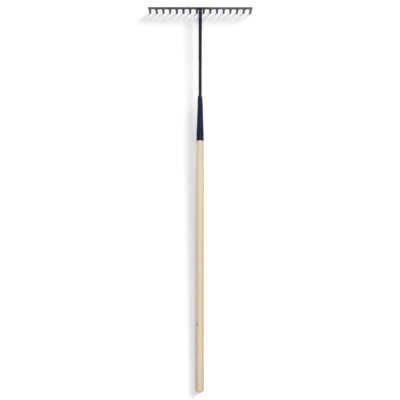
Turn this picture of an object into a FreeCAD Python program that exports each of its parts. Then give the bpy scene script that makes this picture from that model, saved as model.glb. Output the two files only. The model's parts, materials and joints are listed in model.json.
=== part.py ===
import FreeCAD, Part
import math
import os
from FreeCAD import Vector

# A level-head rake: sixteen flat steel teeth on a straight square bar, a long round steel stem,
# a rolled steel socket and a turned ash handle.  It is a rigid tool, so nothing on it moves.
#
# Every piece is modelled in the tool's own frame, in millimetres: Y runs along the tool's axis from
# the handle's free end (Y = 0) to the head, X runs along the head bar and Z points away from the
# teeth.  lay_down() then tips the finished tool into the pose in which it lies on the ground, on its
# tooth tips and the end of its handle, and puts the origin below the middle of its bounding box.

os.makedirs("parts", exist_ok=True)

# Handle: a 1 1/4 inch ash pole with a rounded end
HANDLE_RADIUS = 31.75 / 2
HANDLE_VISIBLE_LENGTH = 985.0
HANDLE_END_CROWN = 24.0
HANDLE_END_CORNER = 8.0
HANDLE_TAPER_LENGTH = 130.0
HANDLE_SHOULDER_RADIUS = 15.25
HANDLE_CHAMFER_LENGTH = 6.0
NOSE_LENGTH = 120.0
NOSE_CHAMFER = 2.5

# Socket: a tapered steel tube rolled from sheet, swaged out to a straight collar at its mouth
SOCKET_LENGTH = 192.0
SOCKET_WALL = 1.65
COLLAR_RADIUS = 15.05
COLLAR_LENGTH = 32.0
SWAGE_LENGTH = 7.0
CONE_MOUTH_RADIUS = 14.35
CONE_TOP_RADIUS = 9.65
SOCKET_TOP_BEVEL = 1.8
NECK_GRIP_LENGTH = 7.0
NECK_SHOULDER_LENGTH = 6.0
SEAM_WIDTH = 0.8
SEAM_ANGLE = 14.0
SEAM_END_FROM_TOP = 14.0
CLIP_ALONG = 13.0
CLIP_ACROSS = 2.25

# Rivet through the socket's collar and the handle's nose
RIVET_RADIUS = 2.5
RIVET_HEAD_RADIUS = 4.8
RIVET_HEAD_HEIGHT = 2.4
RIVET_FROM_MOUTH = 18.5
RIVET_ANGLE = 41.0

# Stem: half-inch round bar that swells towards the head
STEM_RADIUS = 6.4
STEM_HEAD_RADIUS = 7.4
STEM_VISIBLE_LENGTH = 386.6
STEM_SWELL_LENGTH = 250.0
TANG_LENGTH = 45.0
LIP_LENGTH = 4.6
LIP_ROUND = 2.4

# Head: a square bar with the teeth tenoned and welded along its underside
BAR_LENGTH = 443.0
BAR_SIDE = 7.6
BAR_EDGE_ROUND = 1.0
TOOTH_COUNT = 16
TOOTH_PITCH = 28.6
TOOTH_LENGTH = 43.0
TOOTH_ROOT_WIDTH = 10.9
TOOTH_TIP_WIDTH = 8.6
TOOTH_TIP_THICKNESS = 6.4
TOOTH_EDGE_ROUND = 1.1
TENON_RADIUS = 2.5
TENON_LENGTH = 5.0
TENON_CLEARANCE = 0.3

# Welds
TOOTH_WELD_LEG = 4.2
TOOTH_WELD_SETBACK = 0.2
NECK_WELD_WIDTH = 1.0
NECK_WELD_HEIGHT = 2.4
STEM_WELD_HALF_WIDTH = 10.4
STEM_WELD_HALF_LENGTH = 4.2
STEM_WELD_HALF_HEIGHT = 4.3
STEM_WELD_CENTRE_Z = 2.8

# Stations along the tool, from the handle's free end
MOUTH_Y = HANDLE_VISIBLE_LENGTH
CONE_START_Y = MOUTH_Y + COLLAR_LENGTH + SWAGE_LENGTH
NECK_Y = MOUTH_Y + SOCKET_LENGTH
BAR_FRONT_Y = NECK_Y + STEM_VISIBLE_LENGTH
BAR_BACK_Y = BAR_FRONT_Y + BAR_SIDE
BAR_TOP_Z = BAR_SIDE / 2
BAR_UNDER_Z = -BAR_SIDE / 2
TOOTH_TIP_Z = BAR_UNDER_Z - TOOTH_LENGTH

AXIS_START = Vector(0, 0, 0)
AXIS_DIRECTION = Vector(0, 1, 0)


def at(along, radius):
    """A point of a half outline: its place along the tool and its distance from the axis."""
    return Vector(0, along, radius)


def polyline(points):
    """Straight edges that join the points in order."""
    return [Part.LineSegment(a, b).toShape() for a, b in zip(points, points[1:])]


def arc(start, middle, end):
    return Part.Arc(start, middle, end).toShape()


def turned(edges):
    """The solid of revolution that a closed half outline makes about the tool's axis."""
    return Part.Face(Part.Wire(edges)).revolve(AXIS_START, AXIS_DIRECTION, 360)


def prism(points, path):
    """A closed polygon pushed along a vector."""
    return Part.Face(Part.Wire(polyline(points + points[:1]))).extrude(path)


def cone_radius(along):
    """The socket's outer radius on its tapered length."""
    share = (along - CONE_START_Y) / (NECK_Y - CONE_START_Y)
    return CONE_MOUTH_RADIUS + share * (CONE_TOP_RADIUS - CONE_MOUTH_RADIUS)


def end_corner_centre():
    """Centre, in the half outline, of the arc that rounds the handle's end into its side."""
    radius = HANDLE_RADIUS - HANDLE_END_CORNER
    reach = HANDLE_END_CROWN - HANDLE_END_CORNER
    return at(HANDLE_END_CROWN - math.sqrt(reach ** 2 - radius ** 2), radius)


def handle_end_edges():
    """The crown and the corner of the handle's free end, from the axis to the side."""
    corner = end_corner_centre()
    reach = HANDLE_END_CROWN - HANDLE_END_CORNER
    meet = math.asin(corner.z / reach)

    def on_crown(angle):
        return at(HANDLE_END_CROWN * (1 - math.cos(angle)), HANDLE_END_CROWN * math.sin(angle))

    def on_corner(angle):
        return corner + at(-HANDLE_END_CORNER * math.cos(angle), HANDLE_END_CORNER * math.sin(angle))

    crown = arc(on_crown(0), on_crown(meet / 2), on_crown(meet))
    round_end = arc(on_crown(meet), on_corner((meet + math.pi / 2) / 2), on_corner(math.pi / 2))
    return [crown, round_end]


def rivet_axis():
    angle = math.radians(RIVET_ANGLE)
    return Vector(math.cos(angle), 0, math.sin(angle))


def rivet_hole():
    """The hole for the rivet, right through the collar and the handle's nose."""
    centre = Vector(0, MOUTH_Y + RIVET_FROM_MOUTH, 0)
    reach = 2 * COLLAR_RADIUS
    return Part.makeCylinder(RIVET_RADIUS, 2 * reach, centre - rivet_axis() * reach, rivet_axis())


def make_handle():
    """Ash pole: rounded free end, straight grip, slight taper and chamfer, and a nose in the socket."""
    nose_end = MOUTH_Y + NOSE_LENGTH
    nose_radius = cone_radius(nose_end) - SOCKET_WALL
    shoulder_y = MOUTH_Y - HANDLE_CHAMFER_LENGTH
    outline = [
        at(end_corner_centre().y, HANDLE_RADIUS),
        at(shoulder_y - HANDLE_TAPER_LENGTH, HANDLE_RADIUS),
        at(shoulder_y, HANDLE_SHOULDER_RADIUS),
        at(MOUTH_Y, COLLAR_RADIUS - SOCKET_WALL),
        at(MOUTH_Y + COLLAR_LENGTH, COLLAR_RADIUS - SOCKET_WALL),
        at(CONE_START_Y, CONE_MOUTH_RADIUS - SOCKET_WALL),
        at(nose_end - NOSE_CHAMFER, cone_radius(nose_end - NOSE_CHAMFER) - SOCKET_WALL),
        at(nose_end, nose_radius - NOSE_CHAMFER),
        at(nose_end, 0),
        at(0, 0),
    ]
    return turned(handle_end_edges() + polyline(outline)).cut(rivet_hole())


def socket_seam():
    """The narrow gap where the rolled sheet's two edges face each other."""
    length = SOCKET_LENGTH - SEAM_END_FROM_TOP
    slot = Part.makeBox(2 * COLLAR_RADIUS, length, SEAM_WIDTH, Vector(0, MOUTH_Y, -SEAM_WIDTH / 2))
    slot.rotate(AXIS_START, AXIS_DIRECTION, -SEAM_ANGLE)
    return slot


def socket_corner_clip():
    """The sheet's corner cut away beside the neck, on the seam's side."""
    inner = CONE_TOP_RADIUS - CLIP_ACROSS
    outer = CONE_TOP_RADIUS + CLIP_ACROSS
    drop = CLIP_ALONG * (outer - inner) / CLIP_ACROSS
    half_height = 2 * CONE_TOP_RADIUS
    corner = [
        Vector(inner, NECK_Y, -half_height),
        Vector(outer, NECK_Y, -half_height),
        Vector(outer, NECK_Y - drop, -half_height),
    ]
    return prism(corner, Vector(0, 0, 2 * half_height))


def make_socket():
    """Rolled socket: straight collar at the mouth, long taper, and a neck closed onto the stem."""
    bevel_y = NECK_Y - SOCKET_TOP_BEVEL
    grip_y = NECK_Y - NECK_GRIP_LENGTH
    inner_top_y = grip_y - NECK_SHOULDER_LENGTH
    outline = [
        at(MOUTH_Y, COLLAR_RADIUS - SOCKET_WALL),
        at(MOUTH_Y, COLLAR_RADIUS),
        at(MOUTH_Y + COLLAR_LENGTH, COLLAR_RADIUS),
        at(CONE_START_Y, CONE_MOUTH_RADIUS),
        at(bevel_y, cone_radius(bevel_y)),
        at(NECK_Y, CONE_TOP_RADIUS - SOCKET_TOP_BEVEL),
        at(NECK_Y, STEM_RADIUS),
        at(grip_y, STEM_RADIUS),
        at(inner_top_y, cone_radius(inner_top_y) - SOCKET_WALL),
        at(CONE_START_Y, CONE_MOUTH_RADIUS - SOCKET_WALL),
        at(MOUTH_Y + COLLAR_LENGTH, COLLAR_RADIUS - SOCKET_WALL),
        at(MOUTH_Y, COLLAR_RADIUS - SOCKET_WALL),
    ]
    socket = turned(polyline(outline))
    return socket.cut([socket_seam(), socket_corner_clip(), rivet_hole()])


def make_rivet():
    """Steel rivet with a low domed head on each side, bedded on the collar's curve."""
    axis = rivet_axis()
    centre = Vector(0, MOUTH_Y + RIVET_FROM_MOUTH, 0)
    crest = COLLAR_RADIUS + RIVET_HEAD_HEIGHT
    dome_radius = (RIVET_HEAD_RADIUS ** 2 + RIVET_HEAD_HEIGHT ** 2) / (2 * RIVET_HEAD_HEIGHT)
    collar = Part.makeCylinder(COLLAR_RADIUS, 2 * COLLAR_LENGTH, at(MOUTH_Y - COLLAR_LENGTH, 0), AXIS_DIRECTION)
    pieces = [Part.makeCylinder(RIVET_RADIUS, 2 * COLLAR_RADIUS, centre - axis * COLLAR_RADIUS, axis)]
    for outward in (axis, axis * -1):
        dome = Part.makeSphere(dome_radius, centre + outward * (crest - dome_radius))
        rim = Part.makeCylinder(RIVET_HEAD_RADIUS, 2 * COLLAR_RADIUS, centre, outward)
        pieces.append(dome.common(rim).cut(collar))
    return pieces[0].fuse(pieces[1:]).removeSplitter()


def make_stem():
    """Round stem: a tang in the socket's neck, a swelling root, and a lip that laps over the bar."""
    tang_y = NECK_Y - TANG_LENGTH
    lip_y = BAR_FRONT_Y + LIP_LENGTH
    outline = [
        at(lip_y, STEM_HEAD_RADIUS - LIP_ROUND),
        at(lip_y, 0),
        at(tang_y, 0),
        at(tang_y, STEM_RADIUS),
        at(BAR_FRONT_Y - STEM_SWELL_LENGTH, STEM_RADIUS),
        at(BAR_FRONT_Y, STEM_HEAD_RADIUS),
        at(lip_y - LIP_ROUND, STEM_HEAD_RADIUS),
    ]
    turn = LIP_ROUND * math.sin(math.pi / 4)
    round_middle = at(lip_y - LIP_ROUND + turn, STEM_HEAD_RADIUS - LIP_ROUND + turn)
    round_edge = arc(outline[-1], round_middle, outline[0])
    bar_notch = Part.makeBox(
        4 * STEM_HEAD_RADIUS,
        2 * LIP_LENGTH,
        4 * STEM_HEAD_RADIUS,
        Vector(-2 * STEM_HEAD_RADIUS, BAR_FRONT_Y, BAR_TOP_Z - 4 * STEM_HEAD_RADIUS),
    )
    return turned(polyline(outline) + [round_edge]).cut(bar_notch)


def make_neck_weld():
    """Narrow bead that runs round the stem on top of the socket."""
    outline = [
        at(NECK_Y, STEM_RADIUS),
        at(NECK_Y, STEM_RADIUS + NECK_WELD_WIDTH),
        at(NECK_Y + NECK_WELD_HEIGHT, STEM_RADIUS),
    ]
    bulge = at(NECK_Y + NECK_WELD_HEIGHT * 0.62, STEM_RADIUS + NECK_WELD_WIDTH * 0.62)
    face_edge = arc(outline[1], bulge, outline[2])
    return turned(polyline(outline[:2]) + [face_edge] + polyline([outline[2], outline[0]]))


def tooth_places():
    """Distance of each tooth's middle from the middle of the bar, from -X to +X."""
    first = -TOOTH_PITCH * (TOOTH_COUNT - 1) / 2
    return [first + TOOTH_PITCH * index for index in range(TOOTH_COUNT)]


def tooth_half_width(depth):
    """Half the tooth's width at a depth below the bar, above its round tip."""
    taper_length = TOOTH_LENGTH - TOOTH_TIP_WIDTH / 2
    return (TOOTH_ROOT_WIDTH + (TOOTH_TIP_WIDTH - TOOTH_ROOT_WIDTH) * depth / taper_length) / 2


def make_bar():
    """Square bar with rounded top edges and a blind hole under it for each tooth's tenon."""
    bar = Part.makeBox(BAR_LENGTH, BAR_SIDE, BAR_SIDE, Vector(-BAR_LENGTH / 2, BAR_FRONT_Y, BAR_UNDER_Z))
    top_edges = [edge for edge in bar.Edges if edge.BoundBox.ZMin > BAR_TOP_Z - 0.1]
    bar = bar.makeFillet(BAR_EDGE_ROUND, top_edges)
    middle_y = BAR_FRONT_Y + BAR_SIDE / 2
    depth = TENON_LENGTH + TENON_CLEARANCE
    holes = [Part.makeCylinder(TENON_RADIUS, depth, Vector(x, middle_y, BAR_UNDER_Z)) for x in tooth_places()]
    return bar.cut(holes)


def make_tooth():
    """One tooth at the middle of the bar: tapered both ways, with a round tip and a stub tenon on top."""
    tip_radius = TOOTH_TIP_WIDTH / 2
    taper_end_z = TOOTH_TIP_Z + tip_radius
    half_root = TOOTH_ROOT_WIDTH / 2
    front = [
        Vector(tip_radius, 0, taper_end_z),
        Vector(half_root, 0, BAR_UNDER_Z),
        Vector(-half_root, 0, BAR_UNDER_Z),
        Vector(-tip_radius, 0, taper_end_z),
    ]
    tip = arc(front[-1], Vector(0, 0, TOOTH_TIP_Z), front[0])
    front_slab = Part.Face(Part.Wire(polyline(front) + [tip])).extrude(Vector(0, BAR_SIDE, 0))
    setback = (BAR_SIDE - TOOTH_TIP_THICKNESS) / 2
    side = [
        Vector(-half_root, 0, BAR_UNDER_Z),
        Vector(-half_root, BAR_SIDE, BAR_UNDER_Z),
        Vector(-half_root, BAR_SIDE - setback, TOOTH_TIP_Z),
        Vector(-half_root, setback, TOOTH_TIP_Z),
    ]
    side_slab = prism(side, Vector(TOOTH_ROOT_WIDTH, 0, 0))
    blade = front_slab.common(side_slab).removeSplitter()
    rim = [edge for edge in blade.Edges if edge.BoundBox.ZMin < BAR_UNDER_Z - 0.1 and edge.BoundBox.YLength < 1]
    blade = blade.makeFillet(TOOTH_EDGE_ROUND, rim)
    tenon = Part.makeCylinder(TENON_RADIUS, TENON_LENGTH, Vector(0, BAR_SIDE / 2, BAR_UNDER_Z))
    tooth = blade.fuse(tenon).removeSplitter()
    tooth.translate(Vector(0, BAR_FRONT_Y, 0))
    return tooth


def make_tooth_weld(x, side):
    """Hollow fillet bead in the corner between the bar and one flank of a tooth (side is -1 or +1)."""
    root = Vector(x + side * tooth_half_width(0), 0, BAR_UNDER_Z)
    on_bar = root + Vector(side * TOOTH_WELD_LEG, 0, 0)
    on_tooth = Vector(x + side * tooth_half_width(TOOTH_WELD_LEG), 0, BAR_UNDER_Z - TOOTH_WELD_LEG)
    hollow = (on_bar + on_tooth) * 0.5 + (root - (on_bar + on_tooth) * 0.5) * 0.4
    face = Part.Face(Part.Wire(polyline([on_tooth, root, on_bar]) + [arc(on_bar, hollow, on_tooth)]))
    bead = face.extrude(Vector(0, BAR_SIDE - 2 * TOOTH_WELD_SETBACK, 0))
    bead.translate(Vector(0, BAR_FRONT_Y + TOOTH_WELD_SETBACK, 0))
    return bead


def make_tooth_welds():
    """A bead on both flanks of every tooth, and on the inner flank only of the two end teeth."""
    places = tooth_places()
    beads = [make_tooth_weld(x, -1) for x in places[1:]]
    beads += [make_tooth_weld(x, 1) for x in places[:-1]]
    return Part.Compound(beads)


def make_stem_weld(stem):
    """The weld left and right of the stem, where it laps over the bar."""
    blob = Part.makeSphere(1.0)
    stretch = FreeCAD.Matrix()
    stretch.scale(Vector(STEM_WELD_HALF_WIDTH, STEM_WELD_HALF_LENGTH, STEM_WELD_HALF_HEIGHT))
    blob = blob.transformGeometry(stretch)
    blob.translate(Vector(0, BAR_FRONT_Y, STEM_WELD_CENTRE_Z))
    bar = Part.makeBox(BAR_LENGTH, BAR_SIDE, BAR_SIDE, Vector(-BAR_LENGTH / 2, BAR_FRONT_Y, BAR_UNDER_Z))
    return Part.Compound(blob.cut([stem, bar]).Solids)


def make_pieces():
    """Every node's shape in the tool's own frame, by name."""
    stem = make_stem()
    pieces = {
        "handle": make_handle(),
        "socket": make_socket(),
        "socket_rivet": make_rivet(),
        "stem": stem,
        "neck_weld": make_neck_weld(),
        "stem_weld": make_stem_weld(stem),
        "head_bar": make_bar(),
        "tooth_welds": make_tooth_welds(),
    }
    tooth = make_tooth()
    for number, x in enumerate(tooth_places(), start=1):
        piece = tooth.copy()
        piece.translate(Vector(x, 0, 0))
        pieces[f"tooth_{number:02d}"] = piece
    return pieces


def rest_angle():
    """The angle, in radians, at which tooth tips and handle end touch the same floor."""
    corner = end_corner_centre()
    tip_front_y = BAR_FRONT_Y + (BAR_SIDE - TOOTH_TIP_THICKNESS) / 2
    along = tip_front_y - corner.y
    above = TOOTH_TIP_Z + corner.z
    return math.asin(-HANDLE_END_CORNER / math.hypot(along, above)) - math.atan2(above, along)


def lay_down(pieces):
    """Tip the whole tool onto the floor and put the origin under the middle of its bounding box."""
    tip = FreeCAD.Placement(Vector(0, 0, 0), FreeCAD.Rotation(Vector(1, 0, 0), math.degrees(rest_angle())))
    tipped = Part.Compound([shape.copy() for shape in pieces.values()])
    tipped.Placement = tip
    box = tipped.optimalBoundingBox(False)
    shift = Vector(-(box.XMin + box.XMax) / 2, -(box.YMin + box.YMax) / 2, -box.ZMin)
    return FreeCAD.Placement(shift, tip.Rotation)


pieces = make_pieces()
pose = lay_down(pieces)
for name, shape in pieces.items():
    placed = shape.copy()
    placed.Placement = pose.multiply(placed.Placement)
    placed.exportStep(f"parts/{name}.step")
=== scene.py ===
import json
import math
import random

import bmesh
import bpy
from mathutils import Matrix, Vector, noise


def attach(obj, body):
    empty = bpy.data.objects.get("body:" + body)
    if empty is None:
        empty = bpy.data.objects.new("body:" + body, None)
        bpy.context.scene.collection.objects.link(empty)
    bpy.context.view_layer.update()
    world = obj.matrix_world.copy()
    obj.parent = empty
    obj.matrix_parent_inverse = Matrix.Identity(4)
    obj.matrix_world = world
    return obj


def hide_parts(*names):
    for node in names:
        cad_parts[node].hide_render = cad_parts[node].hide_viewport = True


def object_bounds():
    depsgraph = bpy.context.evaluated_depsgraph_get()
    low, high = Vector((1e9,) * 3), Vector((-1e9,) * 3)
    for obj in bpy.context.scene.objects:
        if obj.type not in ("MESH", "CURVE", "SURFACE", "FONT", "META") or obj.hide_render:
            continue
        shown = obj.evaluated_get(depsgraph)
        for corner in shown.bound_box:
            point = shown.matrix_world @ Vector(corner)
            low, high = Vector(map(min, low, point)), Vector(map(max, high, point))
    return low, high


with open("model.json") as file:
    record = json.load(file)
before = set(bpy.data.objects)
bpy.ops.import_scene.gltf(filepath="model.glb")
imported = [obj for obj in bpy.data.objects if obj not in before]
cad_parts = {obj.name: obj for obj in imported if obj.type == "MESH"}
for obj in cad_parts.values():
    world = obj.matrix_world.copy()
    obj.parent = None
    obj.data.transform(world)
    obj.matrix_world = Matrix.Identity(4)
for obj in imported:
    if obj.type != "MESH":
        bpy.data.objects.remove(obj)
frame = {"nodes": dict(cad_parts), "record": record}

# The looks of a level-head rake that lies on the floor, on its tooth tips and its handle's end.
#
# Pieces and textures are worked out in millimetres in the tool's own frame: Y runs along the tool's
# axis from the handle's free end (Y = 0) to the head, X along the head bar, and Z away from the
# teeth.  TOOL carries that frame into the row's frame, which is in metres.  Where the pieces lie
# comes from the CAD nodes; the sizes named below shape their outlines and place the rivet, the seam
# and the knot.  Angles are in degrees.

cad_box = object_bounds()
random.seed(7)

MM = 0.001
ROOT = "root"

# Meshes: what counts as one point and as a hard edge, and the attribute that grows from 0 to 1 where
# faces meet at an outward edge, so that paint wears off there
MERGE_DISTANCE = 0.002
SMALLEST_EDGE = 0.001
HARD_EDGE_ANGLE = 38.0
EDGE = "outward_edge"
EDGE_STARTS_AT = 9.0
EDGE_FULL_AFTER = 12.0

# Handle: rounded free end, taper and chamfer before the socket, nose inside it
END_CROWN = 24.0
END_CORNER = 8.0
TAPER_LENGTH = 130.0
SHOULDER_RADIUS = 15.25
CHAMFER_LENGTH = 6.0
NOSE_CHAMFER = 2.5
KNOT_ALONG = 253.5
KNOT_ANGLE = 136.0
KNOT_REACH = 5.0
KNOT_DEPTH = 0.35
PITH = (21.0, 0.0, -34.0)
RING_WIDTH = 2.6

# Socket: straight collar, swage, cone, rounded top, seam and clipped corner
WALL = 1.65
MOUTH_RIM = 0.45
COLLAR_LENGTH = 32.0
SWAGE_LENGTH = 7.0
CONE_MOUTH_RADIUS = 14.35
CONE_TOP_RADIUS = 9.65
TOP_ROUND = 1.8
NECK_GRIP = 7.0
NECK_SHOULDER = 6.0
SEAM_ANGLE = 14.0
SEAM_DEPTH = 1.45
SEAM_END_FROM_TOP = 14.0
CLIP_ALONG = 13.0
CLIP_ACROSS = 2.25

# Rivet
RIVET_RADIUS = 2.5
RIVET_HEAD_RADIUS = 4.8
RIVET_HEAD_HEIGHT = 2.4
RIVET_FROM_MOUTH = 18.5
RIVET_ANGLE = 41.0

# Stem
STEM_RADIUS = 6.4
STEM_HEAD_RADIUS = 7.4
STEM_SWELL_LENGTH = 250.0
LIP_ROUND = 2.4

# Head
BAR_EDGE_ROUND = 1.0
BAR_END_ROUND = 0.9
TOOTH_TIP_WIDTH = 8.6
TOOTH_TIP_THICKNESS = 6.4
TOOTH_TIP_WEAR = 0.3
TOOTH_EDGE_ROUND = 1.1

# Welds
TOOTH_WELD_LEG = 4.2
TOOTH_WELD_SHORTER = 0.15
TOOTH_WELD_END_ROUND = 1.4
TOOTH_WELD_RIPPLE = 1.7
WELD_ROOT_OVERLAP = 0.4
NECK_WELD_RIPPLES = 22
STEM_WELD_SPREAD = 0.6
STEM_WELD_HALF_HEIGHT = 4.1
STEM_WELD_ABOVE_AXIS = 2.8


# ---------------------------------------------------------------- where the CAD pieces lie

GRIP = next(mount for mount in frame["record"]["mounts"] if mount["name"] == "handle_grip")
TO_HEAD = -Vector(GRIP["axis"])
TILT = math.atan2(TO_HEAD.z, TO_HEAD.y)


def tool_matrix():
    """From millimetres in the tool's own frame to metres in the row's frame."""
    grip_place = Vector(GRIP["pos_m"])
    turn = Matrix.Rotation(TILT, 4, "X")
    far_end = min((turn.inverted() @ vertex.co).y for vertex in frame["nodes"]["handle"].data.vertices)
    origin = grip_place + TO_HEAD * (far_end - (turn.inverted() @ grip_place).y)
    return Matrix.Translation(origin) @ turn @ Matrix.Scale(MM, 4)


TOOL = tool_matrix()
TO_TOOL = TOOL.inverted()


def tool_box(node):
    """Lowest and highest corner of a CAD node, in the tool's own frame."""
    points = [TO_TOOL @ vertex.co for vertex in frame["nodes"][node].data.vertices]
    low = Vector([min(point[axis] for point in points) for axis in range(3)])
    high = Vector([max(point[axis] for point in points) for axis in range(3)])
    return low, high


TEETH = sorted(name for name in frame["nodes"] if name.startswith("tooth_") and name[-1].isdigit())
HANDLE_RADIUS = GRIP["dims"]["r_mm"]
NOSE_END = tool_box("handle")[1].y
MOUTH_Y = tool_box("socket")[0].y
NECK_Y = tool_box("socket")[1].y
COLLAR_RADIUS = tool_box("socket")[1].z
TANG_Y = tool_box("stem")[0].y
LIP_Y = tool_box("stem")[1].y
BAR_LOW, BAR_HIGH = tool_box("head_bar")
BAR_MIDDLE_Y = (BAR_LOW.y + BAR_HIGH.y) / 2
BAR_HALF = (BAR_HIGH.z - BAR_LOW.z) / 2
TOOTH_LOW, TOOTH_HIGH = tool_box(TEETH[0])
TOOTH_HALF_ROOT = (TOOTH_HIGH.x - TOOTH_LOW.x) / 2
TOOTH_LENGTH = BAR_LOW.z - TOOTH_LOW.z
TOOTH_X = [(tool_box(name)[0].x + tool_box(name)[1].x) / 2 for name in TEETH]
NECK_WELD_LOW, NECK_WELD_HIGH = tool_box("neck_weld")
STEM_WELD_LOW, STEM_WELD_HIGH = tool_box("stem_weld")
CONE_START_Y = MOUTH_Y + COLLAR_LENGTH + SWAGE_LENGTH


# ---------------------------------------------------------------- node trees


def add(tree, kind, inputs=None, **settings):
    """A shader node with its settings and inputs; an input is a value or another node's output."""
    made = tree.nodes.new("ShaderNode" + kind)
    for name, value in settings.items():
        setattr(made, name, value)
    for name, value in (inputs or {}).items():
        if isinstance(value, bpy.types.NodeSocket):
            tree.links.new(value, made.inputs[name])
        else:
            made.inputs[name].default_value = value
    return made


def new_material(name):
    """A new material, its node tree and shader, and a socket with coordinates in the tool's own frame."""
    material = bpy.data.materials.new(name)
    material.use_nodes = True
    tree = material.node_tree
    coords = add(tree, "Mapping", {
        "Vector": add(tree, "TexCoord").outputs["Object"],
        "Location": TO_TOOL.translation,
        "Rotation": (-TILT, 0.0, 0.0),
        "Scale": (1 / MM, 1 / MM, 1 / MM),
    }).outputs["Vector"]
    return material, tree, tree.nodes["Principled BSDF"], coords


def vector_maths(tree, operation, first, second=(0.0, 0.0, 0.0), output="Vector"):
    """A vector operation on two sockets or triples; LENGTH and DISTANCE have their output in "Value"."""
    return add(tree, "VectorMath", {0: first, 1: second}, operation=operation).outputs[output]


def maths(tree, operation, first, second=0.0):
    """An operation on two numbers, each a socket or a value."""
    return add(tree, "Math", {0: first, 1: second}, operation=operation).outputs["Value"]


def grain(tree, coords, size, detail=4.0, roughness=0.55, distortion=0.0):
    """Noise from 0 to 1 whose features are about size = (x, y, z) millimetres large."""
    scaled = vector_maths(tree, "DIVIDE", coords, size)
    return add(tree, "TexNoise", {
        "Vector": scaled,
        "Scale": 1.0,
        "Detail": detail,
        "Roughness": roughness,
        "Distortion": distortion,
    }).outputs["Fac"]


def ramp(tree, factor, stops):
    """A colour ramp through (place, RGB) stops."""
    made = add(tree, "ValToRGB", {"Fac": factor})
    elements = made.color_ramp.elements
    while len(elements) < len(stops):
        elements.new(0.5)
    for element, (place, colour) in zip(elements, stops):
        element.position = place
        element.color = (*colour, 1.0)
    return made.outputs["Color"]


def blend(tree, factor, first, second):
    """Mixes two colours by a factor; each is a socket or an RGB triple."""
    inputs = {"Fac": factor}
    for name, colour in (("Color1", first), ("Color2", second)):
        inputs[name] = colour if isinstance(colour, bpy.types.NodeSocket) else (*colour, 1.0)
    return add(tree, "MixRGB", inputs).outputs["Color"]


def between(tree, value, low, high, out_low=0.0, out_high=1.0):
    """Maps value smoothly from low..high to out_low..out_high, and holds it at the ends."""
    return add(tree, "MapRange", {
        "Value": value,
        "From Min": low,
        "From Max": high,
        "To Min": out_low,
        "To Max": out_high,
    }, interpolation_type="SMOOTHSTEP").outputs["Result"]


def spot(tree, coords, centre, radii):
    """1 at the centre of an ellipsoid, falling to 0 at its surface."""
    offset = vector_maths(tree, "SUBTRACT", coords, centre)
    distance = vector_maths(tree, "LENGTH", vector_maths(tree, "DIVIDE", offset, radii), output="Value")
    return between(tree, distance, 0.0, 1.0, 1.0, 0.0)


def bump(tree, shader, height, depth):
    """Raises the surface by height times depth millimetres."""
    made = add(tree, "Bump", {"Height": height, "Distance": depth * MM, "Strength": 1.0})
    tree.links.new(made.outputs["Normal"], shader.inputs["Normal"])


# ---------------------------------------------------------------- materials


def around(angle, radius, along):
    """A point at an angle in degrees, from +X towards +Z, round the tool's axis."""
    turn = math.radians(angle)
    return Vector((radius * math.cos(turn), along, radius * math.sin(turn)))


KNOT_PLACE = around(KNOT_ANGLE, HANDLE_RADIUS, KNOT_ALONG)

# Grey and brown handling marks on the wood: place, half sizes, and strength
WOOD_MARKS = (
    (around(150.0, HANDLE_RADIUS, 203.0), (5.0, 26.0, 7.0), 0.8),
    (around(153.0, HANDLE_RADIUS, 146.0), (5.0, 22.0, 7.0), 1.0),
    (around(147.0, HANDLE_RADIUS, 30.0), (6.0, 30.0, 9.0), 0.6),
    (around(72.0, HANDLE_RADIUS, 560.0), (4.0, 30.0, 4.0), 0.3),
    (around(40.0, HANDLE_RADIUS, 790.0), (5.0, 22.0, 5.0), 0.3),
)


def growth_rings(tree, coords):
    """Where each point lies within its growth ring, from 0 to 1: the pith runs along, beside the handle."""
    wander = grain(tree, coords, (16.0, 360.0, 16.0), 3.0)
    knot_distance = vector_maths(tree, "DISTANCE", coords, KNOT_PLACE, output="Value")
    from_pith = vector_maths(tree, "SUBTRACT", coords, PITH)
    across = vector_maths(tree, "MULTIPLY", from_pith, (1.0, 0.0, 1.0))
    radius = vector_maths(tree, "LENGTH", across, output="Value")
    radius = maths(tree, "ADD", radius, maths(tree, "MULTIPLY", wander, 9.0))
    radius = maths(tree, "ADD", radius, between(tree, knot_distance, 0.0, 45.0, 6.0, 0.0))
    return maths(tree, "FRACT", maths(tree, "DIVIDE", radius, RING_WIDTH))


def clean_wood(tree, coords, ring, pores):
    """The colour of fresh ash: growth rings, dark pores, fine streaks and broad patches."""
    early = (0.74, 0.60, 0.43)
    colour = ramp(tree, ring, [
        (0.0, early),
        (0.14, (0.82, 0.685, 0.50)),
        (0.6, (0.845, 0.715, 0.53)),
        (0.9, (0.805, 0.665, 0.48)),
        (1.0, early),
    ])
    colour = blend(tree, maths(tree, "MULTIPLY", pores, 0.45), colour, (0.50, 0.37, 0.25))
    streaks = grain(tree, coords, (3.0, 160.0, 3.0), 4.0)
    colour = blend(tree, between(tree, streaks, 0.5, 0.75, 0.0, 0.3), colour, (0.70, 0.55, 0.38))
    patches = grain(tree, coords, (45.0, 380.0, 45.0), 3.0)
    return blend(tree, between(tree, patches, 0.35, 0.7, 0.0, 0.25), colour, (0.76, 0.61, 0.44))


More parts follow.
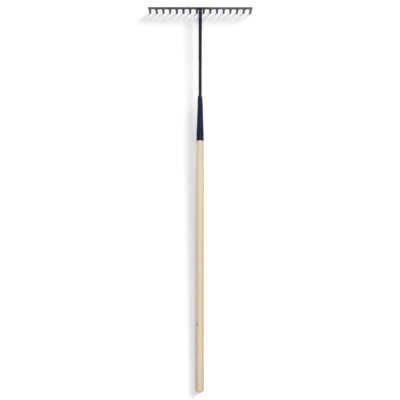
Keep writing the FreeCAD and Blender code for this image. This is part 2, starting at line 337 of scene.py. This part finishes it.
def handled_wood(tree, coords, split, lengthwise_noise, colour):
    """Wood mellower away from the head, darker near its free end and on its left flank, and marked by
    hands.
    """
    mellow = between(tree, split.outputs["Y"], 300.0, 950.0, 0.6, 0.0)
    colour = blend(tree, mellow, colour, (0.70, 0.55, 0.34))
    near_end = between(tree, split.outputs["Y"], 0.0, 150.0, 0.42, 0.0)
    colour = blend(tree, near_end, colour, (0.62, 0.485, 0.375))
    # Darker in lengthwise patches along the left flank, towards the free end.
    left = between(tree, split.outputs["X"], -HANDLE_RADIUS, -0.4 * HANDLE_RADIUS, 1.0, 0.0)
    lower = between(tree, split.outputs["Y"], 50.0, 420.0, 1.0, 0.0)
    left_flank_darkening = maths(tree, "MULTIPLY", maths(tree, "MULTIPLY", left, lower), lengthwise_noise)
    colour = blend(tree, maths(tree, "MULTIPLY", left_flank_darkening, 0.5), colour, (0.40, 0.31, 0.23))
    ragged = grain(tree, coords, (4.0, 90.0, 4.0), 4.0)
    for centre, radii, strength in WOOD_MARKS:
        mark = maths(tree, "MULTIPLY", spot(tree, coords, centre, radii), ragged)
        colour = blend(tree, maths(tree, "MULTIPLY", mark, strength), colour, (0.34, 0.27, 0.21))
    return colour


def cut_wood(tree, split, ring, lengthwise_noise, colour):
    """Dark end grain deepened by painted shade on the free end, and a painted highlight on the chamfer
    before the socket.
    """
    dark_ring = (0.13, 0.095, 0.07)
    end_rings_and_shade = ramp(tree, ring, [
        (0.0, dark_ring),
        (0.25, (0.24, 0.185, 0.14)),
        (0.8, (0.36, 0.285, 0.215)),
        (1.0, dark_ring),
    ])
    ragged_end = maths(tree, "ADD", split.outputs["Y"], maths(tree, "MULTIPLY", lengthwise_noise, 1.6))
    # Painted shade as well as end grain: the rounded free end is made darker than its grain alone, standing
    # in for the shade where it turns away from the light.
    end_grain_and_shade = between(tree, ragged_end, 2.2, 4.6, 0.95, 0.0)
    colour = blend(tree, end_grain_and_shade, colour, end_rings_and_shade)
    # Painted highlight: the chamfer before the socket gets a pale colour that stands in for the light
    # falling on it.
    chamfer_y = MOUTH_Y - CHAMFER_LENGTH
    chamfer = between(tree, split.outputs["Y"], chamfer_y - 0.5, chamfer_y + 1.0)
    return blend(tree, chamfer, colour, (0.89, 0.78, 0.735))


def ash_wood():
    """Pale lacquered ash: growth rings cut lengthwise, open pores, one small knot and handling marks."""
    material, tree, shader, coords = new_material("ash_wood")
    split = add(tree, "SeparateXYZ", {"Vector": coords})
    ring = growth_rings(tree, coords)
    early_wood = ramp(tree, ring, [
        (0.0, (1.0, 1.0, 1.0)),
        (0.3, (0.15, 0.15, 0.15)),
        (0.8, (0.0, 0.0, 0.0)),
        (1.0, (1.0, 1.0, 1.0)),
    ])
    pores = between(tree, grain(tree, coords, (0.65, 22.0, 0.65), 2.0), 0.60, 0.72)
    pores = maths(tree, "MULTIPLY", pores, early_wood)
    lengthwise_noise = grain(tree, coords, (6.0, 140.0, 6.0), 4.0)
    colour = clean_wood(tree, coords, ring, pores)
    colour = handled_wood(tree, coords, split, lengthwise_noise, colour)
    colour = cut_wood(tree, split, ring, lengthwise_noise, colour)
    halo = spot(tree, coords, KNOT_PLACE, (7.5, 13.0, 7.5))
    colour = blend(tree, maths(tree, "MULTIPLY", halo, 0.75), colour, (0.42, 0.30, 0.20))
    heart = spot(tree, coords, KNOT_PLACE, (4.2, 5.8, 4.2))
    colour = blend(tree, heart, colour, (0.09, 0.06, 0.045))

    tree.links.new(colour, shader.inputs["Base Color"])
    tree.links.new(between(tree, pores, 0.0, 1.0, 0.42, 0.62), shader.inputs["Roughness"])
    shader.inputs["Coat Weight"].default_value = 0.2
    shader.inputs["Coat Roughness"].default_value = 0.3
    bump(tree, shader, maths(tree, "SUBTRACT", maths(tree, "MULTIPLY", ring, 0.3), pores), 0.12)
    return material


BARE_STEEL = (0.23, 0.23, 0.245)


def worn_paint(tree, coords, wear):
    """Where the paint is off, from 0 to 1: scratches and scuffs along the tool, chips and worn edges."""
    scratch_grain = grain(tree, coords, (0.7, 24.0, 0.7), 3.0, 0.6)
    scratches = between(tree, scratch_grain, 0.66, 0.72, 0.0, 0.45 * wear)
    scuff_grain = grain(tree, coords, (1.9, 16.0, 1.9), 5.0, 0.6)
    scuffs = between(tree, scuff_grain, 0.64, 0.72, 0.0, 0.7 * wear)
    chip_grain = grain(tree, coords, (3.0, 3.0, 3.0), 3.0, 0.7, 0.6)
    chips = between(tree, chip_grain, 0.69, 0.72, 0.0, wear)
    at_edge = add(tree, "Attribute", attribute_name=EDGE).outputs["Fac"]
    edge_grain = grain(tree, coords, (7.0, 4.0, 4.0), 6.0, 0.75)
    edge_grain = maths(tree, "ADD", edge_grain, maths(tree, "MULTIPLY", at_edge, 0.3))
    worn_edges = between(tree, edge_grain, 0.78, 0.86, 0.0, wear)
    lines = maths(tree, "MAXIMUM", scuffs, scratches)
    return maths(tree, "MAXIMUM", lines, maths(tree, "MAXIMUM", chips, worn_edges))


def painted_steel(name, deep, pale, roughness, wear, relief, ends=None, near_neck=None, near_mouth=None):
    """Satin paint on forged steel: uneven tone, dust, scratches, and wear along the edges.

    relief is the depth of the surface's unevenness in millimetres.  ends is the colour of a painted sheen
    that lightens the head bar towards both its ends, near_neck the colour that the paint has at the
    socket's neck, and near_mouth the one that it takes in a narrow band at the socket's mouth.
    """
    material, tree, shader, coords = new_material(name)
    split = add(tree, "SeparateXYZ", {"Vector": coords})
    tone = grain(tree, coords, (14.0, 40.0, 14.0), 6.0, 0.6)
    colour = blend(tree, between(tree, tone, 0.35, 0.65), deep, pale)
    # Painted sheen: the head bar is made lighter towards both ends. This stands in for a brighter
    # reflection there.
    if ends:
        left = between(tree, split.outputs["X"], -60.0, BAR_LOW.x, 0.0, 0.9)
        right = between(tree, split.outputs["X"], 15.0, 100.0, 0.0, 0.8)
        colour = blend(tree, maths(tree, "MAXIMUM", left, right), colour, ends)
    if near_neck:
        upwards = between(tree, split.outputs["Y"], MOUTH_Y + 40.0, NECK_Y - 30.0)
        colour = blend(tree, upwards, colour, near_neck)
    if near_mouth:
        from_mouth = maths(tree, "SUBTRACT", split.outputs["Y"], MOUTH_Y)
        ragged = maths(tree, "MULTIPLY", grain(tree, coords, (5.0, 9.0, 5.0)), 8.0)
        band = between(tree, maths(tree, "SUBTRACT", from_mouth, ragged), 2.0, 8.0, 0.85, 0.0)
        colour = blend(tree, band, colour, near_mouth)

    dust = grain(tree, coords, (4.8, 4.8, 4.8), 6.0, 0.7)
    dusty = [channel * 0.7 + 0.05 for channel in pale]
    colour = blend(tree, between(tree, dust, 0.46, 0.74, 0.0, 0.36), colour, dusty)
    rubbed = worn_paint(tree, coords, wear)
    colour = blend(tree, rubbed, colour, BARE_STEEL)
    tree.links.new(colour, shader.inputs["Base Color"])
    tree.links.new(between(tree, rubbed, 0.2, 1.0, 0.0, 0.7), shader.inputs["Metallic"])
    rough = between(tree, dust, 0.35, 0.75, roughness - 0.1, roughness + 0.15)
    tree.links.new(rough, shader.inputs["Roughness"])
    shader.inputs["Specular IOR Level"].default_value = 0.2

    forged = maths(tree, "MULTIPLY", grain(tree, coords, (5.0, 3.0, 3.0), 3.0), 0.75)
    fine = maths(tree, "MULTIPLY", grain(tree, coords, (0.9, 0.9, 0.9), 3.0, 0.6), 0.25)
    steel_height = maths(tree, "ADD", forged, fine)
    height = maths(tree, "SUBTRACT", steel_height, maths(tree, "MULTIPLY", rubbed, 0.15))
    bump(tree, shader, height, relief)
    return material


# ---------------------------------------------------------------- mesh helpers


def skin(rings, joined=False):
    """Points and faces of a skin over rings of equal length, its ends capped or joined to each other."""
    points = [point for ring in rings for point in ring]
    count = len(rings[0])
    faces = []
    for index in range(len(rings) if joined else len(rings) - 1):
        here = index * count
        there = (index + 1) % len(rings) * count
        for step in range(count):
            after = (step + 1) % count
            faces.append((here + step, here + after, there + after, there + step))
    if not joined:
        for ring in (0, len(rings) - 1):
            points.append(sum(rings[ring], Vector()) / count)
            start = ring * count
            faces += [(start + step, start + (step + 1) % count, len(points) - 1) for step in range(count)]
    return points, faces


def build(name, skins, material, replaces, dents=0.0, dent_size=(10.0, 10.0, 10.0)):
    """One piece made of skins: dented inwards a little, smooth-shaded, and riding on the tool.

    dents is the depth of the deepest dent and dent_size their size along X, Y and Z.  Outward edges
    are marked in the attribute EDGE, for the paint that wears off there.
    """
    points = []
    faces = []
    for skin_points, skin_faces in skins:
        faces += [[index + len(points) for index in face] for face in skin_faces]
        points += skin_points
    mesh = bpy.data.meshes.new(name)
    mesh.from_pydata(points, [], faces)
    work = bmesh.new()
    work.from_mesh(mesh)
    bmesh.ops.remove_doubles(work, verts=work.verts, dist=MERGE_DISTANCE)
    bmesh.ops.dissolve_degenerate(work, edges=work.edges, dist=SMALLEST_EDGE)
    bmesh.ops.recalc_face_normals(work, faces=work.faces)
    edge_layer = work.verts.layers.float.new(EDGE)
    work.normal_update()
    for vertex in work.verts:
        sharpest = math.degrees(max(edge.calc_face_angle_signed(0.0) for edge in vertex.link_edges))
        vertex[edge_layer] = min(max((sharpest - EDGE_STARTS_AT) / EDGE_FULL_AFTER, 0.0), 1.0)
    inward = [-vertex.normal for vertex in work.verts]
    for vertex, direction in zip(work.verts, inward):
        place = Vector([coordinate / size for coordinate, size in zip(vertex.co, dent_size)])
        share = min(max(0.5 + 0.9 * noise.noise(place), 0.0), 1.0)
        vertex.co += direction * dents * share
    bmesh.ops.transform(work, matrix=TOOL, verts=work.verts)
    work.to_mesh(mesh)
    work.free()
    mesh.shade_smooth()
    mesh.set_sharp_from_angle(angle=math.radians(HARD_EDGE_ANGLE))
    mesh.materials.append(material)
    piece = bpy.data.objects.new(name, mesh)
    bpy.context.scene.collection.objects.link(piece)
    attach(piece, ROOT)
    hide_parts(*replaces)


def spread(start, end, step):
    """Evenly spaced numbers from start up to, but not including, end, about a step apart."""
    count = max(1, round(abs(end - start) / step))
    return [start + (end - start) * index / count for index in range(count)]


def circle(along, radius, steps):
    """A ring of points round the tool's axis."""
    return [around(360.0 * step / steps, radius, along) for step in range(steps)]


def rounded_rectangle(half_width, half_height, radius, side_steps=3, corner_steps=4):
    """(across, up) points of a rectangle with rounded corners, anticlockwise."""
    corners = []
    for quarter in range(4):
        middle = math.radians(45 + 90 * quarter)
        centre_across = math.copysign(half_width - radius, math.cos(middle))
        centre_up = math.copysign(half_height - radius, math.sin(middle))
        for step in range(corner_steps + 1):
            turn = math.radians(90 * (quarter + step / corner_steps))
            corners.append((centre_across + radius * math.cos(turn), centre_up + radius * math.sin(turn)))
    outline = []
    for index, (across, up) in enumerate(corners):
        outline.append((across, up))
        if index % (corner_steps + 1) == corner_steps:
            next_across, next_up = corners[(index + 1) % len(corners)]
            for step in range(1, side_steps):
                share = step / side_steps
                outline.append((across + (next_across - across) * share, up + (next_up - up) * share))
    return outline


def rounding(distance, radius):
    """How far an edge rounded by a radius lies inside, at a distance from the end face."""
    reach = max(radius - distance, 0.0)
    return radius - math.sqrt(radius ** 2 - reach ** 2)


# ---------------------------------------------------------------- handle


def handle_end_outline():
    """(along, radius) points of the free end: a shallow crown that rounds into the side."""
    centre_radius = HANDLE_RADIUS - END_CORNER
    reach = END_CROWN - END_CORNER
    centre_along = END_CROWN - math.sqrt(reach ** 2 - centre_radius ** 2)
    meet = math.asin(centre_radius / reach)
    crown = [(END_CROWN * (1 - math.cos(a)), END_CROWN * math.sin(a)) for a in spread(0.06, meet, 0.06)]
    corner = [
        (centre_along - END_CORNER * math.cos(a), centre_radius + END_CORNER * math.sin(a))
        for a in spread(meet, math.pi / 2, 0.1)
    ]
    return crown + corner + [(centre_along, HANDLE_RADIUS)]


def socket_outer(along):
    """The socket's outer radius: collar, smooth swage, straight cone and rounded top."""
    if along <= CONE_START_Y:
        share = min(max((along - MOUTH_Y - COLLAR_LENGTH) / SWAGE_LENGTH, 0.0), 1.0)
        eased = share * share * (3 - 2 * share)
        return COLLAR_RADIUS + (CONE_MOUTH_RADIUS - COLLAR_RADIUS) * eased
    share = (along - CONE_START_Y) / (NECK_Y - CONE_START_Y)
    radius = CONE_MOUTH_RADIUS + (CONE_TOP_RADIUS - CONE_MOUTH_RADIUS) * share
    return radius - rounding(NECK_Y - along, TOP_ROUND)


def build_handle(wood):
    """A turned pole: rounded end, long body with a dent at the knot, taper, chamfer and hidden nose."""
    shoulder_y = MOUTH_Y - CHAMFER_LENGTH
    taper_y = shoulder_y - TAPER_LENGTH
    outline = handle_end_outline()
    outline += [(along, HANDLE_RADIUS) for along in spread(outline[-1][0] + 4.0, taper_y, 4.0)]
    for along in spread(taper_y, shoulder_y, 5.0):
        share = (along - taper_y) / TAPER_LENGTH
        outline.append((along, HANDLE_RADIUS + (SHOULDER_RADIUS - HANDLE_RADIUS) * share))
    nose_start_radius = COLLAR_RADIUS - WALL
    for along in spread(shoulder_y, MOUTH_Y, 1.0):
        share = (along - shoulder_y) / CHAMFER_LENGTH
        outline.append((along, SHOULDER_RADIUS + (nose_start_radius - SHOULDER_RADIUS) * share))
    for along in spread(MOUTH_Y, NOSE_END - NOSE_CHAMFER, 4.0) + [NOSE_END - NOSE_CHAMFER]:
        outline.append((along, socket_outer(along) - WALL))
    outline.append((NOSE_END, outline[-1][1] - NOSE_CHAMFER))
    rings = [circle(along, radius, 64) for along, radius in outline]
    for ring in rings:
        for point in ring:
            near = max(1.0 - (point - KNOT_PLACE).length / KNOT_REACH, 0.0)
            inwards = -Vector((point.x, 0.0, point.z)).normalized()
            point += inwards * KNOT_DEPTH * near
    build("handle_ash", [skin(rings)], wood, ["handle"], 0.12, (14.0, 90.0, 14.0))


# ---------------------------------------------------------------- socket and rivet

# Places across the seam, in millimetres from its middle, and the share of its depth there
SEAM_SECTION = (
    (-1.6, 0.0), (-0.8, 0.03), (-0.46, 0.12), (-0.4, 1.0),
    (0.4, 1.0), (0.46, 0.12), (0.8, 0.03), (1.6, 0.0),
)


def socket_ring(along, radius):
    """A ring of the socket's wall: sunk at the seam, and cut flat by the clipped corner at the top."""
    depth = SEAM_DEPTH if along < NECK_Y - SEAM_END_FROM_TOP else 0.0
    seam = math.radians(SEAM_ANGLE)
    places = [(seam + offset / radius, share) for offset, share in SEAM_SECTION]
    seam_half = SEAM_SECTION[-1][0] / radius
    plain_steps = 72
    for step in range(1, plain_steps):
        share_round = step / plain_steps
        places.append((seam + seam_half + share_round * 2 * (math.pi - seam_half), 0.0))
    clip_x = CONE_TOP_RADIUS - CLIP_ACROSS + (NECK_Y - along) * CLIP_ACROSS / CLIP_ALONG
    ring = []
    for angle, share in places:
        reach = min(radius, socket_outer(along) - depth * share)
        point = around(math.degrees(angle), reach, along)
        point.x = min(point.x, clip_x)
        ring.append(point)
    return ring


def build_socket(paint):
    """The wall's section, run round the tool's axis: outside, rounded rims and bore."""
    seam_end_y = NECK_Y - SEAM_END_FROM_TOP
    outside = [MOUTH_Y + MOUTH_RIM * (1 - math.cos(turn)) for turn in spread(0.3, math.pi / 2, 0.3)]
    outside += spread(MOUTH_Y + MOUTH_RIM, seam_end_y - 0.3, 3.0)
    outside += [seam_end_y - 0.3, seam_end_y]
    outside += spread(seam_end_y + 1.5, NECK_Y - TOP_ROUND, 1.5)
    outside += spread(NECK_Y - TOP_ROUND, NECK_Y, 0.3)
    section = [(along, socket_outer(along) - rounding(along - MOUTH_Y, MOUTH_RIM)) for along in outside]
    shoulder_y = NECK_Y - NECK_GRIP - NECK_SHOULDER
    section += [(NECK_Y, socket_outer(NECK_Y)), (NECK_Y, STEM_RADIUS), (NECK_Y - NECK_GRIP, STEM_RADIUS)]
    section += [(along, socket_outer(along) - WALL) for along in spread(shoulder_y, MOUTH_Y, 6.0)]
    section += [(MOUTH_Y, COLLAR_RADIUS - WALL), (MOUTH_Y, COLLAR_RADIUS - MOUTH_RIM)]
    rings = [socket_ring(along, radius) for along, radius in section]
    wall = skin(rings, joined=True)
    build("socket_shell", [wall], paint, ["socket"], 0.15, (9.0, 26.0, 9.0))


def build_rivet(steel):
    """A shank with a hammered dome at each end, bedded on the collar's curve."""
    axis = around(RIVET_ANGLE, 1.0, 0.0)
    side = axis.cross(Vector((0, 1, 0)))
    middle = Vector((0.0, MOUTH_Y + RIVET_FROM_MOUTH, 0.0))
    dome_radius = (RIVET_HEAD_RADIUS ** 2 + RIVET_HEAD_HEIGHT ** 2) / (2 * RIVET_HEAD_HEIGHT)
    crest = COLLAR_RADIUS + RIVET_HEAD_HEIGHT
    steps = 36
    dome_reaches = spread(0.3, RIVET_HEAD_RADIUS, 0.5) + [RIVET_HEAD_RADIUS]

    def ring(reach, height_at, outward):
        made = []
        for step in range(steps):
            turn = 2 * math.pi * step / steps
            across = reach * math.cos(turn)
            along = reach * math.sin(turn)
            height = outward * height_at(across, along)
            made.append(middle + side * across + Vector((0, along, 0)) + axis * height)
        return made

    def on_dome(across, along):
        return crest - dome_radius + math.sqrt(dome_radius ** 2 - across ** 2 - along ** 2)

    def on_collar(across, _along):
        return math.sqrt(COLLAR_RADIUS ** 2 - across ** 2)

    rings = [ring(reach, on_dome, 1) for reach in dome_reaches]
    rings += [ring(reach, on_collar, 1) for reach in (RIVET_HEAD_RADIUS, RIVET_RADIUS)]
    rings += [ring(reach, on_collar, -1) for reach in (RIVET_RADIUS, RIVET_HEAD_RADIUS)]
    rings += [ring(reach, on_dome, -1) for reach in reversed(dome_reaches)]
    build("rivet", [skin(rings)], steel, ["socket_rivet"], 0.22, (1.7, 1.7, 1.7))


# ---------------------------------------------------------------- stem


def lap_ring(along, radius, steps):
    """A ring cut flat along its underside, where the stem laps over the bar."""
    meet = math.asin(BAR_HALF / radius)
    chord = radius * math.cos(meet)
    ring = []
    for step in range(steps):
        turn = 2 * math.pi * step / steps
        if meet <= turn <= math.pi - meet:
            ring.append(around(math.degrees(turn), radius, along))
        else:
            share = (turn - (math.pi - meet)) % (2 * math.pi) / (math.pi + 2 * meet)
            ring.append(Vector((chord * (2 * share - 1), along, BAR_HALF)))
    return ring


def build_stem(paint):
    """Half-inch bar that swells towards the head and ends in a rounded lip on top of the head bar."""
    steps = 48
    swell_y = BAR_LOW.y - STEM_SWELL_LENGTH

    def radius_at(along):
        share = max(along - swell_y, 0.0) / STEM_SWELL_LENGTH
        return STEM_RADIUS + (STEM_HEAD_RADIUS - STEM_RADIUS) * share

    round_places = spread(TANG_Y, BAR_LOW.y, 3.5) + [BAR_LOW.y]
    rings = [circle(along, radius_at(along), steps) for along in round_places]
    flat_y = LIP_Y - LIP_ROUND
    for along in spread(BAR_LOW.y, flat_y, 1.0) + spread(flat_y, LIP_Y, 0.3) + [LIP_Y]:
        rings.append(lap_ring(along, STEM_HEAD_RADIUS - rounding(LIP_Y - along, LIP_ROUND), steps))
    build("stem_bar", [skin(rings)], paint, ["stem"], 0.2, (8.0, 22.0, 8.0))


# ---------------------------------------------------------------- head


def build_bar(paint):
    """Square bar, its long edges and ends rounded over."""
    start_turns = spread(0.25, math.pi / 2, 0.25)
    end_turns = spread(0.0, math.pi / 2 - 0.2, 0.25)
    places = [BAR_LOW.x + BAR_END_ROUND * (1 - math.cos(turn)) for turn in start_turns]
    places += spread(BAR_LOW.x + BAR_END_ROUND, BAR_HIGH.x - BAR_END_ROUND, 2.5)
    places += [BAR_HIGH.x - BAR_END_ROUND * (1 - math.sin(turn)) for turn in end_turns]
    rings = []
    for x in places:
        inset = rounding(min(x - BAR_LOW.x, BAR_HIGH.x - x), BAR_END_ROUND)
        section = rounded_rectangle(BAR_HALF - inset, BAR_HALF - inset, BAR_EDGE_ROUND - inset / 2)
        rings.append([Vector((x, BAR_MIDDLE_Y + across, up)) for across, up in section])
    build("head_bar_forged", [skin(rings)], paint, ["head_bar"], 0.16, (12.0, 5.0, 5.0))


def tooth_half_width(depth):
    """Half the tooth's width at a depth below the bar, above its round tip."""
    tip_half = TOOTH_TIP_WIDTH / 2
    return TOOTH_HALF_ROOT + (tip_half - TOOTH_HALF_ROOT) * depth / (TOOTH_LENGTH - tip_half)


def tooth_skin(x):
    """A tooth that tapers both ways to a round tip, its tip worn thinner."""
    tip_half = TOOTH_TIP_WIDTH / 2
    straight = TOOTH_LENGTH - tip_half
    sections = [(depth, tooth_half_width(depth), 1.0) for depth in spread(0.0, straight, 2.2)]
    for turn in spread(0.0, 1.45, 0.13):
        depth = straight + tip_half * math.sin(turn)
        sections.append((depth, tip_half * math.cos(turn), 1 - TOOTH_TIP_WEAR * math.sin(turn) ** 4))
    rings = []
    for depth, half_width, worn in sections:
        share = depth / TOOTH_LENGTH
        half_thickness = worn * (BAR_HALF + (TOOTH_TIP_THICKNESS / 2 - BAR_HALF) * share)
        section = rounded_rectangle(half_width, half_thickness, min(TOOTH_EDGE_ROUND, 0.6 * half_width))
        rings.append([Vector((x + across, BAR_MIDDLE_Y + up, BAR_LOW.z - depth)) for across, up in section])
    return skin(rings)


def build_teeth(paint):
    """One piece for each tooth of the CAD."""
    for name, x in zip(TEETH, TOOTH_X):
        build(name + "_forged", [tooth_skin(x)], paint, [name], 0.14, (5.0, 5.0, 8.0))


# ---------------------------------------------------------------- welds


def fillet_bead(x, side):
    """A rippled bead in the corner between the bar's underside and a tooth's flank (side is -1 or +1)."""
    leg = TOOTH_WELD_LEG * random.uniform(0.9, 1.12)
    ripple_start = random.uniform(0.0, math.tau)
    root = Vector((x + side * TOOTH_HALF_ROOT, 0.0, BAR_LOW.z))
    inside_root = root - Vector((side * WELD_ROOT_OVERLAP, 0, -WELD_ROOT_OVERLAP))
    end = BAR_HALF - TOOTH_WELD_SHORTER
    rings = []
    for along in spread(-end, end, 0.35) + [end]:
        rounded = rounding(BAR_HALF - abs(along), TOOTH_WELD_END_ROUND) / TOOTH_WELD_END_ROUND
        size = leg * (1.0 - 0.35 * rounded)
        on_bar = root + Vector((side * size, 0, 0))
        on_tooth = Vector((x + side * tooth_half_width(size), 0, BAR_LOW.z - size))
        hollow = 0.34 + 0.1 * math.sin(ripple_start + along * math.tau / TOOTH_WELD_RIPPLE)
        ring = [inside_root]
        for share in [step / 7 for step in range(8)]:
            straight = on_bar.lerp(on_tooth, share)
            ring.append(straight.lerp(root, hollow * math.sin(math.pi * share)))
        rings.append([point + Vector((0, BAR_MIDDLE_Y + along, 0)) for point in ring])
    return skin(rings)


def build_tooth_welds(steel):
    """A bead on both flanks of every tooth, and on the inner flank only of the two end teeth."""
    beads = [fillet_bead(x, -1) for x in TOOTH_X[1:]] + [fillet_bead(x, 1) for x in TOOTH_X[:-1]]
    build("tooth_weld_beads", beads, steel, ["tooth_welds"], 0.12, (1.6, 1.6, 1.6))


def build_neck_weld(steel):
    """A narrow bead round the stem on top of the socket, its ripples laid round the stem."""
    width = NECK_WELD_HIGH.x - STEM_RADIUS
    height = NECK_WELD_HIGH.y - NECK_WELD_LOW.y
    inner_radius = STEM_RADIUS - 0.3
    steps = 144
    rings = []
    for step in range(steps):
        angle = 360.0 * step / steps
        swell = 0.88 + 0.12 * math.sin(NECK_WELD_RIPPLES * math.radians(angle))
        ring = [around(angle, inner_radius, NECK_WELD_LOW.y)]
        for turn in [math.pi / 2 * part / 6 for part in range(7)]:
            radius = STEM_RADIUS + width * swell * math.cos(turn)
            ring.append(around(angle, radius, NECK_WELD_LOW.y + height * swell * math.sin(turn)))
        ring.append(around(angle, inner_radius, ring[-1].y))
        rings.append(ring)
    bead = skin(rings, joined=True)
    build("neck_weld_bead", [bead], steel, ["neck_weld"], 0.1, (1.5, 1.5, 1.5))


def build_stem_weld(steel):
    """A rippled lump left and right of the stem, where it laps over the bar."""
    half_width = STEM_WELD_HIGH.x / 2 - STEM_WELD_SPREAD
    half_length = (STEM_WELD_HIGH.y - STEM_WELD_LOW.y) / 2
    middle_y = (STEM_WELD_HIGH.y + STEM_WELD_LOW.y) / 2
    middle = Vector((STEM_WELD_HIGH.x - half_width, middle_y, STEM_WELD_ABOVE_AXIS))
    lumps = []
    for side in (-1, 1):
        rings = []
        for turn in spread(0.12, math.pi - 0.1, 0.12):
            ripple = 1.0 + 0.035 * math.sin(9 * turn)
            ring = []
            for step in range(32):
                angle = math.tau * step / 32
                ring.append(Vector((
                    side * (middle.x - half_width * math.cos(turn)),
                    middle.y + half_length * ripple * math.sin(turn) * math.cos(angle),
                    middle.z + STEM_WELD_HALF_HEIGHT * ripple * math.sin(turn) * math.sin(angle),
                )))
            rings.append(ring)
        lumps.append(skin(rings))
    build("stem_weld_beads", lumps, steel, ["stem_weld"], 0.25, (2.2, 2.2, 2.2))


# ---------------------------------------------------------------- stage, light and camera

FLOOR_HALF = 40.0
FLOOR_GREY = 0.45
ROOM_LIGHT = 0.2
LAMP_DISTANCE = 6.0
OVERHEAD_FROM = (0.09, -0.1, 1.0)
OVERHEAD_SIZE = 4.5
OVERHEAD_POWER = 315.0
KEY_FROM = (1.1, 0.88, 1.0)
KEY_STRENGTH = 4.3
KEY_SOFTNESS = 27.0
FILL_FROM = (-0.8, -0.8, 1.0)
FILL_STRENGTH = 3.1


def build_stage():
    """A plain pale floor under the tool."""
    material = bpy.data.materials.new("pale_floor")
    material.use_nodes = True
    shader = material.node_tree.nodes["Principled BSDF"]
    shader.inputs["Base Color"].default_value = (FLOOR_GREY, FLOOR_GREY, FLOOR_GREY, 1)
    shader.inputs["Roughness"].default_value = 0.9
    shader.inputs["Specular IOR Level"].default_value = 0.0
    height = cad_box[0].z
    mesh = bpy.data.meshes.new("floor")
    signs = ((-1, -1), (1, -1), (1, 1), (-1, 1))
    corners = [(x * FLOOR_HALF, y * FLOOR_HALF, height) for x, y in signs]
    mesh.from_pydata(corners, [], [(0, 1, 2, 3)])
    mesh.materials.append(material)
    floor = bpy.data.objects.new("floor", mesh)
    bpy.context.scene.collection.objects.link(floor)
    return floor


def lamp(name, kind, direction, energy):
    """A light that shines on the middle of the tool from a direction."""
    data = bpy.data.lights.new(name, kind)
    data.energy = energy
    light = bpy.data.objects.new(name, data)
    towards = Vector(direction).normalized()
    light.location = towards * LAMP_DISTANCE
    light.rotation_euler = towards.to_track_quat("Z", "Y").to_euler()
    bpy.context.scene.collection.objects.link(light)
    return light


def build_light(floor):
    """A large soft box overhead, and a soft key and a shadowless fill that light the floor only."""
    scene = bpy.context.scene
    world = bpy.data.worlds.new("studio")
    world.use_nodes = True
    world.node_tree.nodes["Background"].inputs["Color"].default_value = (1, 1, 1, 1)
    world.node_tree.nodes["Background"].inputs["Strength"].default_value = ROOM_LIGHT
    scene.world = world
    overhead = lamp("overhead", "AREA", OVERHEAD_FROM, OVERHEAD_POWER)
    overhead.data.size = OVERHEAD_SIZE
    key = lamp("key", "SUN", KEY_FROM, KEY_STRENGTH)
    key.data.angle = math.radians(KEY_SOFTNESS)
    fill = lamp("fill", "SUN", FILL_FROM, FILL_STRENGTH)
    fill.data.use_shadow = False
    floor_only = bpy.data.collections.new("floor_only")
    floor_only.objects.link(floor)
    for light in (key, fill):
        light.light_linking.receiver_collection = floor_only
    scene.view_settings.view_transform = "Standard"


CAMERA_ALONG = 279.8
CAMERA_ABOVE = 2517.9
CAMERA_TILT = 10.408
CAMERA_ROLL = 0.08
CAMERA_LENS = 57.6
SENSOR_WIDTH = 36.0


def build_camera():
    """Above the handle, looking down and a little towards the head."""
    data = bpy.data.cameras.new("camera")
    data.lens = CAMERA_LENS
    data.sensor_width = SENSOR_WIDTH
    camera = bpy.data.objects.new("camera", data)
    place = Matrix.Translation(TOOL @ Vector((0.0, CAMERA_ALONG, CAMERA_ABOVE)))
    tilt = Matrix.Rotation(TILT + math.radians(CAMERA_TILT), 4, "X")
    camera.matrix_world = place @ tilt @ Matrix.Rotation(math.radians(CAMERA_ROLL), 4, "Z")
    bpy.context.scene.collection.objects.link(camera)
    bpy.context.scene.camera = camera


# ---------------------------------------------------------------- assembly

# The head bar's ends colour is a painted sheen towards its ends, not a change in the paint.
head_paint = painted_steel(
    "head_steel", (0.040, 0.041, 0.058), (0.076, 0.076, 0.102), 0.5, 0.9, 0.5, ends=(0.112, 0.112, 0.136)
)
stem_paint = painted_steel("stem_paint", (0.006, 0.008, 0.019), (0.015, 0.017, 0.034), 0.48, 0.6, 0.4)
socket_paint = painted_steel(
    "socket_paint", (0.002, 0.009, 0.034), (0.006, 0.015, 0.046), 0.42, 0.6, 0.3,
    near_neck=(0.011, 0.015, 0.062), near_mouth=(0.018, 0.012, 0.018),
)
weld_paint = painted_steel("weld_bead", (0.012, 0.013, 0.019), (0.040, 0.040, 0.048), 0.5, 0.7, 0.5)
rivet_steel = painted_steel("rivet_steel", (0.022, 0.026, 0.044), (0.052, 0.056, 0.072), 0.38, 1.0, 0.5)

build_handle(ash_wood())
build_socket(socket_paint)
build_rivet(rivet_steel)
build_stem(stem_paint)
build_neck_weld(weld_paint)
build_stem_weld(weld_paint)
build_bar(head_paint)
build_teeth(head_paint)
build_tooth_welds(weld_paint)
build_light(build_stage())
build_camera()
